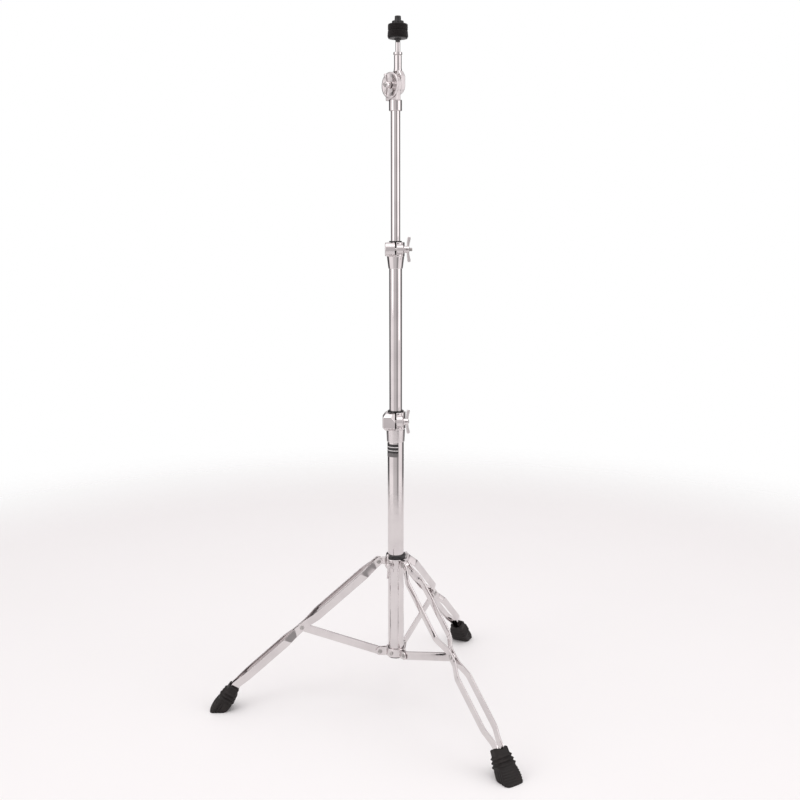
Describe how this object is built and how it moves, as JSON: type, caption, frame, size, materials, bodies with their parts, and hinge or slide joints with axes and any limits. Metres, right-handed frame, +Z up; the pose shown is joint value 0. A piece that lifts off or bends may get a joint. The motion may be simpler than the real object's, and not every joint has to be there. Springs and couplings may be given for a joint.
{
  "type": "cymbal stand",
  "caption": "Straight double-braced cymbal stand with telescoping chrome tubes, a folding tripod on rubber boots, a tilter and a felt seat.",
  "frame": {"origin": "on the floor, at the middle of the box round the whole stand; the mast stands 78.5 mm from it towards +X", "axes": "+Z up along the mast; leg 1 points to -X and the front view looks along +Y"},
  "size_m": [0.5248, 0.604, 1.2153],
  "materials": {
    "chrome": "bright chrome plate",
    "satin_steel": "satin zinc",
    "rubber": "matt moulded rubber",
    "felt": "pressed felt",
    "nylon": "matt nylon",
    "label_film": "printed film"
  },
  "bodies": {
    "base": {"base_tube": "chrome", "base_clamp": "chrome", "base_clamp_bolt": "satin_steel", "label": "label_film", "tube_end_plug": "nylon", "lower_collar": "chrome", "lower_collar_screw": "satin_steel"},
    "base_swivel": {"base_clamp_bushing": "nylon"},
    "base_wing_nut": {"base_clamp_wing_nut": "chrome"},
    "middle": {"middle_tube": "chrome", "upper_clamp": "chrome", "upper_clamp_bolt": "satin_steel"},
    "upper_swivel": {"upper_clamp_bushing": "nylon"},
    "upper_wing_nut": {"upper_clamp_wing_nut": "chrome"},
    "upper": {"upper_tube": "chrome", "tilter_base": "chrome", "tilter_plate": "chrome", "tilter_bolt": "satin_steel"},
    "tilter_nut": {"tilter_wing_nut": "chrome"},
    "tilter": {"tilter_head": "chrome", "post_ring": "chrome", "seat_rod": "satin_steel", "cup_washer": "chrome", "lower_felt": "felt", "upper_felt": "felt"},
    "top_nut": {"top_sleeve_nut": "nylon"},
    "collar": {"leg_collar": "chrome", "leg_collar_ring": "nylon"},
    "collar_screw": {"leg_collar_wing_screw": "chrome"},
    "leg_1": {"leg_1_left_strip": "chrome", "leg_1_right_strip": "chrome", "leg_1_pivot_rivet": "satin_steel", "leg_1_left_brace_rivet": "satin_steel", "leg_1_right_brace_rivet": "satin_steel", "boot_1": "rubber"},
    "brace_1": {"brace_1": "chrome", "brace_1_rivet": "satin_steel"},
    "leg_2": {"leg_2_left_strip": "chrome", "leg_2_right_strip": "chrome", "leg_2_pivot_rivet": "satin_steel", "leg_2_left_brace_rivet": "satin_steel", "leg_2_right_brace_rivet": "satin_steel", "boot_2": "rubber"},
    "brace_2": {"brace_2": "chrome", "brace_2_rivet": "satin_steel"},
    "leg_3": {"leg_3_left_strip": "chrome", "leg_3_right_strip": "chrome", "leg_3_pivot_rivet": "satin_steel", "leg_3_left_brace_rivet": "satin_steel", "leg_3_right_brace_rivet": "satin_steel", "boot_3": "rubber"},
    "brace_3": {"brace_3": "chrome", "brace_3_rivet": "satin_steel"}
  },
  "joints": [
    {"name": "base_clamp_swivel", "type": "hinge", "parent": "base", "child": "base_swivel", "pos_m": [0.07851, 0, 0.53], "axis": [0, 0, 1], "continuous": true},
    {"name": "middle_tube_slide", "type": "slide", "parent": "base_swivel", "child": "middle", "axis": [0, 0, 1], "range_m": [-0.245, 0.08]},
    {"name": "upper_clamp_swivel", "type": "hinge", "parent": "middle", "child": "upper_swivel", "pos_m": [0.07851, 0, 0.83], "axis": [0, 0, 1], "continuous": true},
    {"name": "upper_tube_slide", "type": "slide", "parent": "upper_swivel", "child": "upper", "axis": [0, 0, 1], "range_m": [-0.21, 0.07]},
    {"name": "tilter_tilt", "type": "hinge", "parent": "upper", "child": "tilter", "pos_m": [0.07851, 0, 1.104], "axis": [-0.8018, -0.5976, 0], "range_deg": [-90, 90]},
    {"name": "top_nut_turn", "type": "hinge", "parent": "tilter", "child": "top_nut", "pos_m": [0.08276, 0.00317, 1.208], "axis": [0, 0, 1], "continuous": true},
    {"name": "base_wing_nut_turn", "type": "hinge", "parent": "base", "child": "base_wing_nut", "pos_m": [0.07724, -0.01826, 0.536], "axis": [0.9976, -0.0698, 0], "continuous": true},
    {"name": "upper_wing_nut_turn", "type": "hinge", "parent": "middle", "child": "upper_wing_nut", "pos_m": [0.07745, -0.01516, 0.834], "axis": [0.9976, -0.0698, 0], "continuous": true},
    {"name": "tilter_nut_turn", "type": "hinge", "parent": "upper", "child": "tilter_nut", "pos_m": [0.07851, 0, 1.104], "axis": [-0.8018, -0.5976, 0], "continuous": true},
    {"name": "collar_screw_turn", "type": "hinge", "parent": "collar", "child": "collar_screw", "pos_m": [0.06351, -0.02598, 0.2747], "axis": [-0.5, -0.866, 0], "continuous": true},
    {"name": "leg_collar_slide", "type": "slide", "parent": "base", "child": "collar", "axis": [0, 0, 1], "range_m": [0, 0.16271]},
    {"name": "leg_1_fold", "type": "hinge", "parent": "collar", "child": "leg_1", "pos_m": [0.04711, 0, 0.2767], "axis": [0, -1, 0], "range_deg": [0, 45.81]},
    {"name": "brace_1_fold", "type": "hinge", "parent": "base", "child": "brace_1", "pos_m": [0.04901, 0, 0.1037], "axis": [0, -1, 0], "range_deg": [-65.96, 0]},
    {"name": "leg_2_fold", "type": "hinge", "parent": "collar", "child": "leg_2", "pos_m": [0.09421, -0.02719, 0.2767], "axis": [0.866, 0.5, 0], "range_deg": [0, 45.81]},
    {"name": "brace_2_fold", "type": "hinge", "parent": "base", "child": "brace_2", "pos_m": [0.09326, -0.02555, 0.1037], "axis": [0.866, 0.5, 0], "range_deg": [-65.96, 0]},
    {"name": "leg_3_fold", "type": "hinge", "parent": "collar", "child": "leg_3", "pos_m": [0.09421, 0.02719, 0.2767], "axis": [-0.866, 0.5, 0], "range_deg": [0, 45.81]},
    {"name": "brace_3_fold", "type": "hinge", "parent": "base", "child": "brace_3", "pos_m": [0.09326, 0.02555, 0.1037], "axis": [-0.866, 0.5, 0], "range_deg": [-65.96, 0]}
  ],
  "couplings": [
    {"joint": "leg_1_fold", "follows": "leg_collar_slide", "rad_per_m": 4.9128},
    {"joint": "brace_1_fold", "follows": "leg_collar_slide", "rad_per_m": -7.0736},
    {"joint": "leg_2_fold", "follows": "leg_collar_slide", "rad_per_m": 4.9128},
    {"joint": "brace_2_fold", "follows": "leg_collar_slide", "rad_per_m": -7.0736},
    {"joint": "leg_3_fold", "follows": "leg_collar_slide", "rad_per_m": 4.9128},
    {"joint": "brace_3_fold", "follows": "leg_collar_slide", "rad_per_m": -7.0736}
  ]
}
